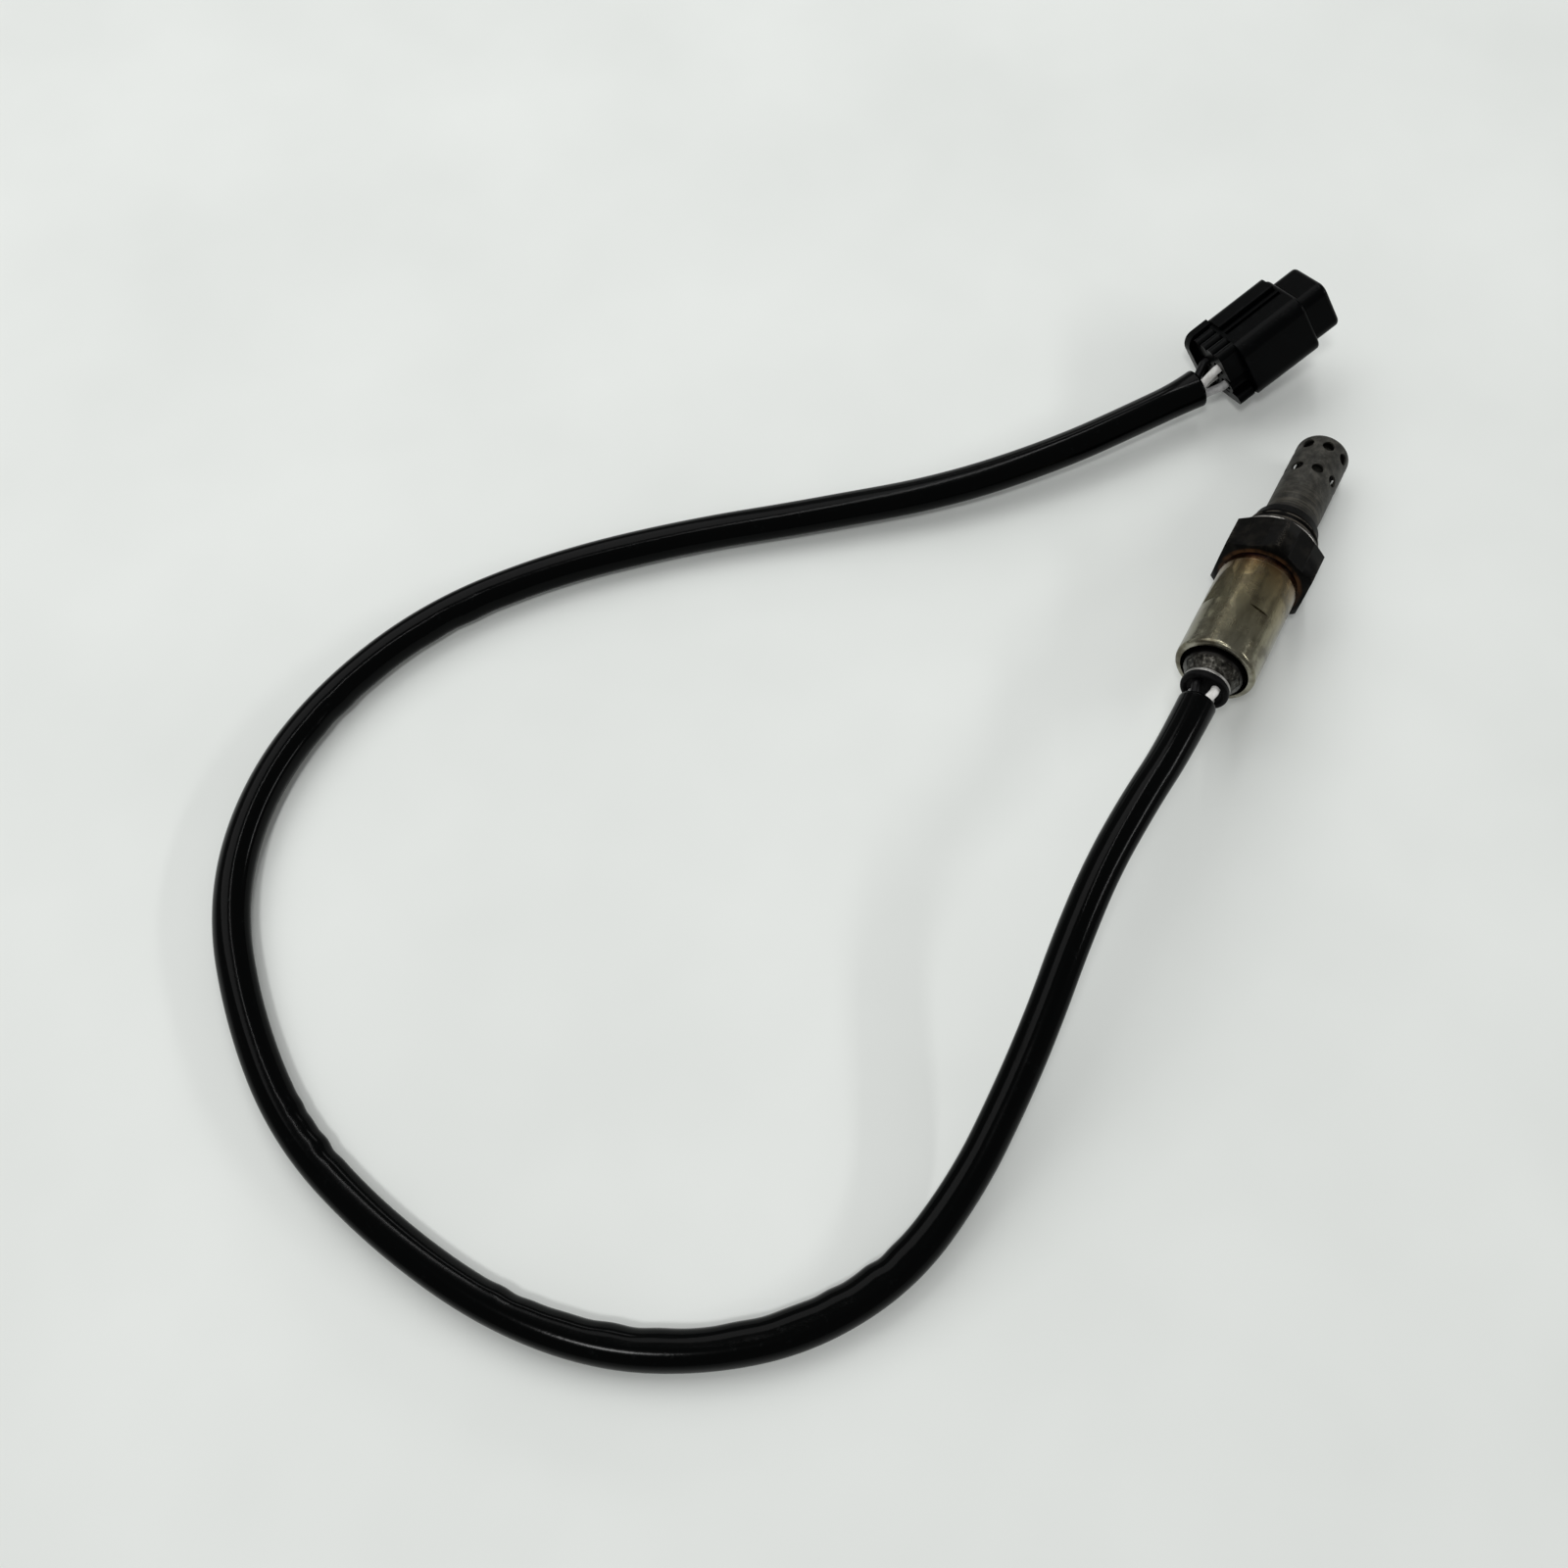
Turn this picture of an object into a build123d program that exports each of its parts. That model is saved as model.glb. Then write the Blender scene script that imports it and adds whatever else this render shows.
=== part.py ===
"""Heated exhaust oxygen sensor with a hexagonal housing, a sleeved lead and a four-way plug.

Millimetres, +Z up.  The origin is the middle of the gasket's front face, which seats on the exhaust
boss.  The sensor lies on a flat surface: a lower corner of the hexagon and the rim of the protection
tube touch it, so its axis dips towards the tip, which points to +X.  Every piece of the sensor is
first made upright, with its axis on Z, the tip up and the hexagon's seat at Z = 0, and then laid down.
"""
import os
from math import asin, atan2, cos, degrees, hypot, pi, radians, sin, sqrt, tan

from build123d import *

os.makedirs("parts", exist_ok=True)

# ---------------------------------------------------------------- driving dimensions
FIT = 0.05                 # radial clearance of pressed and crimped pieces
SEAM = 0.05                # gap between two faces that rest on each other
HOLE_SINK = 0.5            # how far a cutter runs past the face that it opens

# threaded housing
HEX_AF = 22.0              # wrench size
HEX_LEN = 10.8
HEX_FACE_D = 21.2          # circle where the chamfer meets each end face
HEX_CHAMFER_ANGLE = 30.0
THREAD_D = 18.0            # M18 x 1.5, major diameter
THREAD_LEN = 5.2           # seat to the end of the thread
RELIEF_D = 16.4            # neck between the seat and the thread, where the gasket is captive
RELIEF_SPARE = 0.2         # how far the neck runs past the gasket
PILOT_D = 16.1             # plain nose ahead of the thread
PILOT_CHAMFER = 0.3
SHANK_LEN = 8.4            # seat to the end of that nose
FRONT_BORE_D = 10.4        # bore round the sensing element
POCKET_D = 15.0            # front pocket that holds the flanges of both tubes
LIP_LEN = 1.1              # crimped lip at the mouth of that pocket
REAR_BORE_D = 13.6         # rear bore that holds the element's flange and packing
REAR_BORE_FLOOR = 0.8      # where the rear bore ends, ahead of the seat
COLLAR_LEN = 2.6           # round collar behind the hexagon, inside the outer shell
REAR_LIP_LEN = 0.9         # crimped edge that closes the rear bore
REAR_LIP_D = 11.4

# crush gasket
GASKET_BAND = 1.65         # width of the ring outside the thread
GASKET_T = 1.3
GASKET_LIP_D = 16.8        # inner lip, smaller than the thread, that keeps the gasket on
GASKET_LIP_T = 0.5

# protection tubes
GUARD_D = 13.3
GUARD_WALL = 0.5
GUARD_TIP = 37.6           # seat to the closed end
GUARD_TIP_ROUND = 2.2
GUARD_HOLE_D = 3.0
GUARD_HOLES = 8            # in each row
GUARD_ROWS = (24.7, 33.2)  # seat to each row of holes
GUARD_HOLE_ANGLE = 2.0     # turn of both rows from the sensor's upper side
GUARD_END_HOLE_D = 3.0
INNER_GUARD_D = 9.4
INNER_GUARD_WALL = 0.4
INNER_GUARD_TIP_GAP = 1.4  # between the closed ends of the two tubes
INNER_GUARD_ROUND = 1.6
INNER_ROW = 29.5           # seat to the inner tube's own row of holes
INNER_HOLES = 6
INNER_HOLE_ANGLE = 20.0    # turn of its first hole
INNER_HOLE_D = 2.2
FLANGE_T = 0.5             # flange of each tube, clamped in the front pocket

# sensing element, a closed ceramic thimble, and its heater
ELEMENT_TIP = 29.0
ELEMENT_TIP_D = 5.2
ELEMENT_BODY_D = 7.0
ELEMENT_FLANGE_T = 2.6
ELEMENT_TAIL_D = 8.0
ELEMENT_TAIL_END = -17.4
ELEMENT_BORE_D = 4.2
ELEMENT_FLOOR_T = 1.6
HEATER_D = 2.6
HEATER_TIP_GAP = 0.6
HEATER_END = -22.6
WASHER_T = 0.4
TALC_T = 4.0
CRIMP_RING_T = 0.8

# rear end of the sensor
SHELL_D = 19.0
SHELL_WALL = 0.7
SHELL_BAND_LEN = 2.3       # thinner band behind the hexagon
SHELL_BAND_STEP = 0.3
SHELL_END = -41.4          # rim of the outer shell
SHELL_RIM_ROUND = 1.0
SHELL_LIP_D = 16.2         # opening inside the turned-in rim
SHELL_LIP_T = 0.8
DENT_ANGLE = 127.0         # pressed slope in the shell, which ends in a step
DENT_FRONT = -15.5
DENT_STEP = -26.6
DENT_DEPTH = 0.9
FLAT_ANGLE = 197.5         # small flat on the shell's upper side
FLAT_FRONT = -26.8
FLAT_LEN = 9.0
FLAT_DEPTH = 0.35
SLEEVE_WALL = 0.5
SLEEVE_SPARE = 1.0         # from the dent's step to the front end of the inner sleeve
NECK_D = 14.0
NECK_RECESS = 3.5          # depth of the gap between the neck and the shell's rim
NECK_STRAIGHT = 0.9        # from the shell's rim to where the neck starts to narrow
NECK_TIP_D = 10.7
NECK_REACH = 5.2           # from the shell's rim to the neck's end
NECK_ROUND = 0.6
NECK_BEAD = 0.2            # rolled edge of the neck, proud of it
NECK_BEAD_LEN = 0.7
NECK_CRIMPS = 8
NECK_CRIMP_SIZE = (2.4, 2.4)
NECK_CRIMP_DEPTH = 0.22
NECK_EDGE = 0.2
NECK_BEAD_EDGE = 0.15
GROMMET_HEAD_D = 11.4      # outside the neck
GROMMET_HEAD_LEN = 1.8
GROMMET_HEAD_EDGE = 0.3
GROMMET_RIM = 1.0          # flat ring round the hollow in its outer face
GROMMET_BASE_LEN = 3.2
GROMMET_ROUND = 0.8
GROMMET_DISH = 0.6         # depth of the hollow in its outer face
INSULATOR_LEN = 10.7
INSULATOR_D = 15.2
CONTACT_T = 0.4
CONTACT_W = 1.4
CONTACT_CLIP_LEN = 3.4
TERMINAL_BORE_D = 3.0      # passages through the insulator

# leads and their protective tube
LEAD_D = 2.1
LEAD_CLEAR = 0.1           # round a lead in the grommet and in the plug's seals
LEAD_PITCH_R = 3.1         # circle of the four leads in the grommet
BUNDLE_R = 2.0             # circle of the four leads inside the tube
LEAD_BEND = 1.6            # smallest bend of a lead's middle line
LEADS = {"lead_white_1": 225, "lead_black": 135, "lead_white_2": 315, "lead_grey": 45}
CORD_D = 8.4
CORD_START = -52.4         # where the tube begins, behind the seat

# Route of the tube from the sensor to the plug: x, y and the height of its middle above the
# surface that everything lies on.  The first point is set by the sensor's axis.
ROUTE = [
    (-67.1, 0.0, 23.3),
    (-82.8, 1.5, 24.3),
    (-100.0, 2.2, 23.4),
    (-117.3, 1.0, 21.0),
    (-133.9, -1.1, 17.2),
    (-151.1, -2.3, 12.6),
    (-171.4, -2.6, 8.2),
    (-192.8, 1.0, 5.4),
    (-211.7, 12.2, 4.4),
    (-226.4, 28.6, 4.25),
    (-236.5, 49.1, 4.25),
    (-240.4, 72.8, 4.25),
    (-238.1, 100.4, 4.25),
    (-231.0, 127.9, 4.25),
    (-215.9, 151.0, 4.25),
    (-194.9, 171.8, 4.25),
    (-168.7, 181.6, 4.25),
    (-141.1, 180.9, 4.25),
    (-112.5, 171.8, 4.25),
    (-86.2, 153.2, 4.3),
    (-62.8, 129.4, 4.4),
    (-40.9, 102.7, 4.9),
    (-20.4, 78.4, 5.9),
    (2.2, 58.6, 7.2),
    (22.2, 44.8, 8.2),
    (35.7, 35.9, 8.9),
]

# four-way plug, made with its nose at X = 0 and its leads at -X, then set down on its rear corner
PLUG_NOSE = (66.7, 19.3, 22.27)    # middle of the nose's end: x, y and height
PLUG_YAW = -28.3
PLUG_TILT = 20.0           # nose up
PLUG_ROLL = -30.3
NOSE_SIZE = (14.8, 13.8)   # across (Y) and up (Z)
NOSE_LEN = 7.3
NOSE_ROUND = 2.8
NOSE_EDGE = 1.2
BODY_STEP = 1.5            # the body stands out round the nose by this
BODY_LEN = 18.6
BODY_ROUND = 3.6
BODY_EDGE = 0.9
PAD_W = 6.6                # raised lock pad on top
PAD_H = 0.8
PAD_CORNER = 2.6           # on the pad's outer side
PAD_LEN = 16.4
PAD_INSET = 1.2            # from the body's front to the pad
RIB_W = 1.0
RIB_GAP = 1.3
REAR_LEN = 5.0             # skirt behind the body, round the leads
WAY_PITCH = 5.4            # between the terminal ways, both directions
WAY_D = 3.6                # bore of each way
WAY_WALL = 1.0
SKIRT_T = 2.4              # walls of the skirt, on the pad's side and below
SKIRT_OVER = 1.8           # the side wall runs past the rear face by this
SKIRT_CORNER = 3.2
SKIRT_RISE = 0.3           # the side wall stands above the body's top by this
SADDLE_RIBS = 4            # round ribs along the skirt's top
SADDLE_PITCH = 3.3
SADDLE_RIB_R = 1.5
LUG_SIZE = (4.4, 4.2, 3.0)
LUG_INSET = 2.1            # from the body's side to the lug
LUG_ROUND = 1.4
SLOT_SIZE = (2.6, 1.2)     # tab entry of each way
SLOT_DEPTH = 1.6           # wall between the lock plate and the ways
LOCK_SIZE = (11.0, 10.0)   # terminal lock plate, let into the nose's face
LOCK_T = 1.2
LOCK_INSET = 0.2           # the plate lies below the nose's face by this
SEAL_LEN = 3.6
SEAL_INSET = 0.4
TERMINAL_LEN = 12.0
TERMINAL_SIZE = (2.4, 2.2)
TERMINAL_WALL = 0.35
BARREL_D = 2.9             # crimp barrel round the lead's end
BARREL_LEN = 3.6

# ---------------------------------------------------------------- derived places
HEX_R = HEX_AF / sqrt(3)
CHAMFER_LEN = (HEX_R - HEX_FACE_D / 2) * tan(radians(HEX_CHAMFER_ANGLE))
HEX_BACK = -HEX_LEN
TIP_ROUND_AT = (GUARD_TIP - GUARD_TIP_ROUND, GUARD_D / 2 - GUARD_TIP_ROUND)
# the dip at which the lower corner and the tube's rounded rim touch the same flat surface
REACH = TIP_ROUND_AT[0] + CHAMFER_LEN
DROP = HEX_R - TIP_ROUND_AT[1]
DIP = degrees(asin(-GUARD_TIP_ROUND / hypot(REACH, DROP)) + atan2(DROP, REACH))
SURFACE_Z = (CHAMFER_LEN + GASKET_T) * sin(radians(DIP)) - HEX_R * cos(radians(DIP))

GASKET_D = THREAD_D + 2 * FIT + 2 * GASKET_BAND
RELIEF_END = GASKET_T + RELIEF_SPARE
COLLAR_END = HEX_BACK - COLLAR_LEN
REAR_POCKET_END = COLLAR_END + REAR_LIP_LEN
LIP_START = SHANK_LEN - LIP_LEN
POCKET_FLOOR = LIP_START - 2 * FLANGE_T - 3 * SEAM
SHELL_BORE_D = SHELL_D - 2 * SHELL_WALL
SLEEVE_D = SHELL_BORE_D - 2 * FIT
SHOULDER = SHELL_END + NECK_RECESS              # rear face of the inner sleeve's shoulder
SLEEVE_START = DENT_STEP - SLEEVE_SPARE
NECK_TAPER = SHELL_END - NECK_STRAIGHT
NECK_END = SHELL_END - NECK_REACH
BEAD_TOP = NECK_END + NECK_BEAD_LEN
GROMMET_END = NECK_END - GROMMET_HEAD_LEN
GROMMET_BASE_D = SLEEVE_D - 2 * SLEEVE_WALL - 2 * FIT
GROMMET_BASE_BACK = SHOULDER + SLEEVE_WALL + SEAM
GROMMET_FRONT = GROMMET_BASE_BACK + GROMMET_BASE_LEN
INSULATOR_BACK = GROMMET_FRONT + SEAM
INSULATOR_FRONT = INSULATOR_BACK + INSULATOR_LEN
LEAD_FRONT = INSULATOR_BACK + 5.0
WASHER_BACK = REAR_BORE_FLOOR - SEAM - WASHER_T
ELEMENT_SEAT = WASHER_BACK - SEAM
ELEMENT_FLANGE_BACK = ELEMENT_SEAT - ELEMENT_FLANGE_T

BODY_FRONT = -NOSE_LEN
BODY_BACK = BODY_FRONT - BODY_LEN
REAR_FACE = BODY_BACK - REAR_LEN
BODY_SIZE = tuple(size + 2 * BODY_STEP for size in NOSE_SIZE)
TERMINAL_FRONT = -LOCK_INSET - LOCK_T - SEAM - SLOT_DEPTH
TERMINAL_BACK = TERMINAL_FRONT - SEAM - TERMINAL_LEN
NEAR_WAY, FAR_WAY = -WAY_PITCH / 2, WAY_PITCH / 2
WAYS = [(y, z) for z in (FAR_WAY, NEAR_WAY) for y in (FAR_WAY, NEAR_WAY)]
LEAD_WAYS = [(NEAR_WAY, FAR_WAY), (FAR_WAY, FAR_WAY), (FAR_WAY, NEAR_WAY), (NEAR_WAY, NEAR_WAY)]

LAY_DOWN = Rot(0, 90 + DIP, 0) * Pos(0, 0, -GASKET_T)
PLUG_PLACE = (
    Pos(PLUG_NOSE[0], PLUG_NOSE[1], SURFACE_Z + PLUG_NOSE[2])
    * Rot(0, 0, PLUG_YAW)
    * Rot(0, -PLUG_TILT, 0)
    * Rot(PLUG_ROLL, 0, 0)
)


# ---------------------------------------------------------------- helpers
def turned(points, rounds=()):
    """A solid of revolution round Z from (radius, z) points; rounds is (point index, radius) pairs."""
    face = make_face(Polyline(*[(r, 0, z) for r, z in points], close=True)).face()
    for index, radius in rounds:
        corner = Vector(points[index][0], 0, points[index][1])
        nearest = min(face.vertices(), key=lambda v: (Vector(*v) - corner).length)
        face = face.fillet_2d(radius, [nearest])
    return revolve(face, Axis.Z)


def ring(outer_d, inner_d, low, high):
    return turned([(inner_d / 2, low), (outer_d / 2, low), (outer_d / 2, high), (inner_d / 2, high)])


def rod(diameter, low, high):
    return Pos(0, 0, (low + high) / 2) * Cylinder(diameter / 2, high - low)


def polar(radius, angle, z=0.0):
    return (radius * cos(radians(angle)), radius * sin(radians(angle)), z)


def radial_holes(diameter, count, z, reach, first=0.0):
    """Cutters that run outwards from the axis, evenly spaced."""
    cutter = Pos(reach / 2, 0, 0) * Rot(0, 90, 0) * Cylinder(diameter / 2, reach)
    return [Pos(0, 0, z) * Rot(0, 0, first + 360 * i / count) * cutter for i in range(count)]


def block(size, low):
    """A box with its low corner at low."""
    return Pos(*[low[i] + size[i] / 2 for i in range(3)]) * Box(*size)


# ---------------------------------------------------------------- sensor, front to back
def hex_housing():
    prism = extrude(RegularPolygon(HEX_R, 6), HEX_LEN, dir=(0, 0, -1))
    big = HEX_R + 1
    run = (big - HEX_FACE_D / 2) * tan(radians(HEX_CHAMFER_ANGLE))
    envelope = turned([
        (0, 0), (HEX_FACE_D / 2, 0), (big, -run), (big, HEX_BACK + run),
        (HEX_FACE_D / 2, HEX_BACK), (0, HEX_BACK),
    ])
    shank = turned([
        (0, -1), (RELIEF_D / 2, -1), (RELIEF_D / 2, RELIEF_END),
        (THREAD_D / 2, RELIEF_END + (THREAD_D - RELIEF_D) / 2),
        (THREAD_D / 2, THREAD_LEN), (PILOT_D / 2, THREAD_LEN + (THREAD_D - PILOT_D) / 2),
        (PILOT_D / 2, SHANK_LEN - PILOT_CHAMFER), (PILOT_D / 2 - PILOT_CHAMFER, SHANK_LEN),
        (0, SHANK_LEN),
    ])
    collar = rod(SHELL_BORE_D - 2 * FIT, COLLAR_END, HEX_BACK + 1)
    bore = turned([
        (0, COLLAR_END - HOLE_SINK), (REAR_LIP_D / 2, COLLAR_END - HOLE_SINK),
        (REAR_LIP_D / 2, REAR_POCKET_END), (REAR_BORE_D / 2, REAR_POCKET_END),
        (REAR_BORE_D / 2, REAR_BORE_FLOOR), (FRONT_BORE_D / 2, REAR_BORE_FLOOR),
        (FRONT_BORE_D / 2, POCKET_FLOOR), (POCKET_D / 2, POCKET_FLOOR),
        (POCKET_D / 2, LIP_START), (GUARD_D / 2 + FIT, LIP_START),
        (GUARD_D / 2 + FIT, SHANK_LEN + HOLE_SINK), (0, SHANK_LEN + HOLE_SINK),
    ])
    return (prism & envelope) + shank + collar - bore


def seat_gasket():
    bead = GASKET_T * 0.35
    inner = THREAD_D / 2 + FIT
    outer = GASKET_D / 2
    lip = GASKET_LIP_D / 2
    lip_top = SEAM + GASKET_LIP_T
    return turned(
        [(lip, SEAM), (outer, SEAM), (outer, GASKET_T), (inner, GASKET_T), (inner, lip_top),
         (lip, lip_top)],
        rounds=((1, bead), (2, bead)),
    )


def guard(outer_d, wall, tip, round_r, flange_low):
    """A closed tube with a rounded end and a clamped flange."""
    r_out = outer_d / 2
    r_in = r_out - wall
    flange_high = flange_low + FLANGE_T
    flange_r = POCKET_D / 2 - FIT
    return turned(
        [(r_in, flange_low), (flange_r, flange_low), (flange_r, flange_high), (r_out, flange_high),
         (r_out, tip), (0, tip), (0, tip - wall), (r_in, tip - wall)],
        rounds=((4, round_r), (7, round_r - wall)),
    )


def outer_protection_tube():
    tube = guard(GUARD_D, GUARD_WALL, GUARD_TIP, GUARD_TIP_ROUND, LIP_START - SEAM - FLANGE_T)
    cutters = [rod(GUARD_END_HOLE_D, GUARD_TIP - 2 * GUARD_WALL, GUARD_TIP + HOLE_SINK)]
    for z in GUARD_ROWS:
        cutters += radial_holes(GUARD_HOLE_D, GUARD_HOLES, z, GUARD_D, GUARD_HOLE_ANGLE)
    return tube - cutters


def inner_protection_tube():
    tip = GUARD_TIP - GUARD_WALL - INNER_GUARD_TIP_GAP
    tube = guard(INNER_GUARD_D, INNER_GUARD_WALL, tip, INNER_GUARD_ROUND, POCKET_FLOOR + SEAM)
    return tube - radial_holes(INNER_HOLE_D, INNER_HOLES, INNER_ROW, INNER_GUARD_D, INNER_HOLE_ANGLE)


def sensing_element():
    flange_r = REAR_BORE_D / 2 - 2 * FIT
    outside = [
        (0, ELEMENT_TAIL_END), (ELEMENT_TAIL_D / 2, ELEMENT_TAIL_END),
        (ELEMENT_TAIL_D / 2, ELEMENT_FLANGE_BACK), (flange_r, ELEMENT_FLANGE_BACK),
        (flange_r, ELEMENT_SEAT), (ELEMENT_BODY_D / 2, ELEMENT_SEAT),
        (ELEMENT_TIP_D / 2, ELEMENT_TIP), (0, ELEMENT_TIP),
    ]
    body = turned(outside, rounds=((6, ELEMENT_TIP_D * 0.4),))
    return body - rod(ELEMENT_BORE_D, ELEMENT_TAIL_END - HOLE_SINK, ELEMENT_TIP - ELEMENT_FLOOR_T)


def heater_rod():
    top = ELEMENT_TIP - ELEMENT_FLOOR_T - HEATER_TIP_GAP
    heater = rod(HEATER_D, HEATER_END, top)
    return fillet(heater.edges().sort_by(Axis.Z)[-1], HEATER_D * 0.2)


def packing():
    """Sealing washer, talc, ceramic ring and crimp ring that hold the element's flange."""
    flange_d = REAR_BORE_D - 4 * FIT
    hole_d = ELEMENT_TAIL_D + 4 * FIT
    talc_low = ELEMENT_FLANGE_BACK - SEAM - TALC_T
    crimp_low = REAR_POCKET_END + SEAM
    crimp_high = crimp_low + CRIMP_RING_T
    return {
        "sealing_washer": ring(flange_d, ELEMENT_BODY_D + 1.2, WASHER_BACK, WASHER_BACK + WASHER_T),
        "talc_ring": ring(flange_d, hole_d, talc_low, talc_low + TALC_T),
        "ceramic_ring": ring(flange_d, hole_d, crimp_high + SEAM, talc_low - SEAM),
        "crimp_ring": ring(flange_d, hole_d, crimp_low, crimp_high),
    }


def strap(angle, radius, low, high):
    """A flat contact strip along the axis, with its middle at radius."""
    strip = block((CONTACT_T, CONTACT_W, high - low), (radius - CONTACT_T / 2, -CONTACT_W / 2, low))
    return Rot(0, 0, angle) * strip


def link(angle, inner, outer, low):
    """A radial strip that joins a clip to its strap."""
    strip = block((outer - inner, CONTACT_W, CONTACT_T), (inner, -CONTACT_W / 2, low))
    return Rot(0, 0, angle) * strip


def contacts():
    """The four contacts: outer clip, inner clip and two heater blades, each with its strap."""
    back = LEAD_FRONT + SEAM
    clip_low = ELEMENT_TAIL_END + SEAM
    clip_r = ELEMENT_TAIL_D / 2 + FIT
    outer_clip = ring(2 * (clip_r + CONTACT_T), 2 * clip_r, clip_low, clip_low + CONTACT_CLIP_LEN)
    outer = outer_clip + strap(LEADS["lead_grey"], clip_r + CONTACT_T / 2, back, clip_low + CONTACT_CLIP_LEN)
    sleeve_d = ELEMENT_BORE_D - 2 * FIT
    link_low = ELEMENT_TAIL_END - SEAM - CONTACT_T
    angle = LEADS["lead_black"]
    inner = ring(sleeve_d, HEATER_D + 2 * FIT, link_low, clip_low + CONTACT_CLIP_LEN)
    inner += link(angle, sleeve_d / 2 - CONTACT_T / 2, LEAD_PITCH_R, link_low)
    inner += strap(angle, LEAD_PITCH_R - CONTACT_T / 2, back, link_low + CONTACT_T)
    blades = {}
    for number, lead in enumerate(("lead_white_1", "lead_white_2"), 1):
        angle = LEADS[lead]
        near = HEATER_D / 2 + FIT
        low = HEATER_END
        blade = strap(angle, near + CONTACT_T / 2, low, low + 2.6)
        blade += link(angle, near, LEAD_PITCH_R, low)
        blade += strap(angle, LEAD_PITCH_R - CONTACT_T / 2, back, low + CONTACT_T)
        blades[f"heater_contact_{number}"] = blade
    return {"ground_contact": outer, "signal_contact": inner, **blades}


def rear_insulator():
    body = rod(INSULATOR_D, INSULATOR_BACK, INSULATOR_FRONT)
    body = chamfer(body.edges().sort_by(Axis.Z)[-1], 0.8)
    for angle in LEADS.values():
        x, y, _ = polar(LEAD_PITCH_R + 0.3, angle)
        body -= Pos(x, y, 0) * rod(TERMINAL_BORE_D, INSULATOR_BACK - 1, INSULATOR_FRONT + 1)
    return body


def across(points, angle):
    """A bar across the axis, from (radius, z) points, turned to face angle."""
    side = make_face(Polyline(*[(r, 0, z) for r, z in points], close=True))
    return Rot(0, 0, angle) * extrude(side, SHELL_D / 2, dir=(0, 1, 0), both=True)


def outer_shell():
    r = SHELL_D / 2
    bore = SHELL_BORE_D / 2
    lip = SHELL_LIP_D / 2
    band = r - SHELL_BAND_STEP
    band_end = HEX_BACK - SHELL_BAND_LEN
    shell = turned(
        [(bore, HEX_BACK - SEAM), (band, HEX_BACK - SEAM), (band, band_end), (r, band_end),
         (r, SHELL_END), (lip, SHELL_END), (lip, SHELL_END + SHELL_LIP_T),
         (bore, SHELL_END + SHELL_LIP_T)],
        rounds=((4, SHELL_RIM_ROUND), (3, 0.15)),
    )
    low = r - DENT_DEPTH
    slope = DENT_DEPTH / (DENT_FRONT - DENT_STEP)
    shell -= across([(low, DENT_STEP), (r + 1, DENT_STEP), (r + 1, DENT_FRONT + 1 / slope)], DENT_ANGLE)
    pressed = across([
        (r, DENT_FRONT), (low, DENT_STEP), (r, DENT_STEP), (r, DENT_STEP - SHELL_WALL),
        (low - SHELL_WALL, DENT_STEP - SHELL_WALL), (r - SHELL_WALL, DENT_FRONT),
    ], DENT_ANGLE)
    shell += pressed & rod(SHELL_D, DENT_STEP - 1, DENT_FRONT + 1)
    flat = block((1, SHELL_D, FLAT_LEN), (r - FLAT_DEPTH, -r, FLAT_FRONT - FLAT_LEN))
    return shell - Rot(0, 0, FLAT_ANGLE) * flat


def neck_sleeve():
    """Inner sleeve: a wide part inside the shell, a shoulder and the crimped neck."""
    r = SLEEVE_D / 2
    neck = NECK_D / 2
    tip = NECK_TIP_D / 2
    bead = tip + NECK_BEAD
    wall = SLEEVE_WALL
    sleeve = turned(
        [(r - wall, SLEEVE_START), (r - wall, SHOULDER + wall), (neck - wall, SHOULDER + wall),
         (neck - wall, NECK_TAPER), (tip - wall, BEAD_TOP), (tip - wall, NECK_END),
         (bead, NECK_END), (bead, BEAD_TOP), (tip, BEAD_TOP + NECK_BEAD), (neck, NECK_TAPER),
         (neck, SHOULDER), (r, SHOULDER), (r, SLEEVE_START)],
        rounds=((6, NECK_EDGE), (7, NECK_BEAD_EDGE), (9, NECK_ROUND), (11, NECK_ROUND)),
    )
    wide, tall = NECK_CRIMP_SIZE
    slope = degrees(atan2(neck - tip, NECK_TAPER - BEAD_TOP))
    middle = Pos((neck + tip) / 2, 0, (NECK_TAPER + BEAD_TOP) / 2) * Rot(0, slope, 0)
    dent = middle * block((2, wide, tall), (-NECK_CRIMP_DEPTH, -wide / 2, -tall / 2))
    dents = [Rot(0, 0, 360 * (i + 0.5) / NECK_CRIMPS) * dent for i in range(NECK_CRIMPS)]
    return sleeve - dents


def lead_grommet():
    spare = SLEEVE_WALL + FIT
    r = NECK_D / 2 - spare
    base = GROMMET_BASE_D / 2
    tip = NECK_TIP_D / 2 - spare
    head = GROMMET_HEAD_D / 2
    dish = head - GROMMET_RIM
    body = turned(
        [(0, GROMMET_FRONT), (base, GROMMET_FRONT), (base, GROMMET_BASE_BACK),
         (r, GROMMET_BASE_BACK), (r, NECK_TAPER), (tip, BEAD_TOP), (tip, NECK_END - SEAM),
         (head, NECK_END - SEAM), (head, GROMMET_END), (dish, GROMMET_END),
         (dish - GROMMET_DISH, GROMMET_END + GROMMET_DISH), (0, GROMMET_END + GROMMET_DISH)],
        rounds=((8, GROMMET_ROUND), (7, GROMMET_HEAD_EDGE)),
    )
    for angle in LEADS.values():
        x, y, _ = polar(LEAD_PITCH_R, angle)
        body -= Pos(x, y, 0) * rod(LEAD_D + 2 * LEAD_CLEAR, GROMMET_END - 1, GROMMET_FRONT + 1)
    return body


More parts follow.
